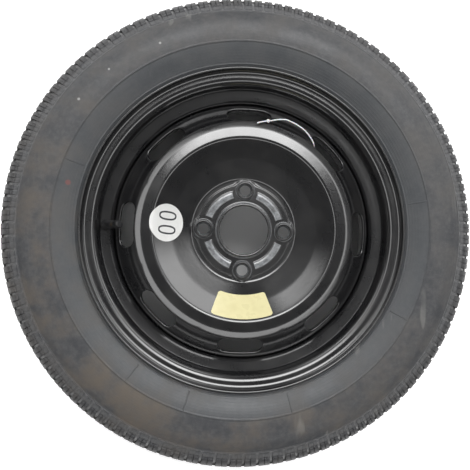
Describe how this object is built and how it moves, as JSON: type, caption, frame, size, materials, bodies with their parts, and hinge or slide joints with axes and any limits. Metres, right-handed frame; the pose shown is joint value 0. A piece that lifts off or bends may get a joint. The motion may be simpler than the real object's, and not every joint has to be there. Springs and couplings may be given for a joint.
{
  "type": "spare wheel",
  "caption": "Pneumatic road wheel: a tyre on a welded, black-painted steel rim and vented disc, with a snap-in valve under a screw cap.",
  "frame": {"origin": "centre of the wheel, on its axis, midway between the rim's two flanges", "axes": "+Z along the wheel's axis and outboard, away from the hub; +X to the right and +Y up as the outer face is seen"},
  "size_m": [0.6215, 0.6214, 0.19],
  "materials": {
    "tyre": "moulded black tyre rubber, matt, dusty",
    "rim_paint": "gloss black paint on steel sheet",
    "disc_paint": "gloss black paint on steel sheet",
    "weld": "gloss black paint over a rippled weld",
    "valve_rubber": "moulded black rubber, satin",
    "brass": "turned and threaded brass, satin",
    "seal_plastic": "sealing plastic, matt",
    "seal_rubber": "seal rubber, matt",
    "spring_steel": "drawn spring wire",
    "cap_plastic": "moulded black plastic, satin",
    "white_vinyl": "white vinyl label, satin",
    "cream_paper": "pale cream paper label under a clear film",
    "nylon": "white nylon, smooth"
  },
  "bodies": {
    "wheel": {"tyre": "tyre", "rim": "rim_paint", "disc": "disc_paint", "weld_beads": "weld", "valve_body": "valve_rubber", "valve_stem": "brass", "core_plug": "brass", "core_barrel": "brass", "barrel_seal": "seal_plastic", "pin_spring": "spring_steel", "round_label": "white_vinyl", "curved_label": "cream_paper", "tag_tie": "nylon"},
    "valve_pin": {"core_pin": "brass", "pin_seal": "seal_rubber"},
    "cap_gasket": {"cap_seal": "seal_rubber"},
    "cap": {"valve_cap": "cap_plastic"}
  },
  "joints": [
    {"name": "pin_press", "type": "slide", "parent": "wheel", "child": "valve_pin", "axis": [-0.6375, 0.0223, -0.7701], "range_m": [0, 0.0018], "stiffness_N_per_m": 500, "springref_m": -0.001, "deforming": ["pin_spring"]},
    {"name": "cap_lift", "type": "slide", "parent": "wheel", "child": "cap_gasket", "axis": [0.6375, -0.0223, 0.7701], "range_m": [0, 0.00556]},
    {"name": "cap_turn", "type": "hinge", "parent": "cap_gasket", "child": "cap", "pos_m": [-0.18069, 0.00631, 0.0477], "axis": [0.6375, -0.0223, 0.7701], "range_deg": [0, 2520]}
  ],
  "couplings": [
    {"joint": "cap_turn", "follows": "cap_lift", "rad_per_m": 7913.3}
  ]
}
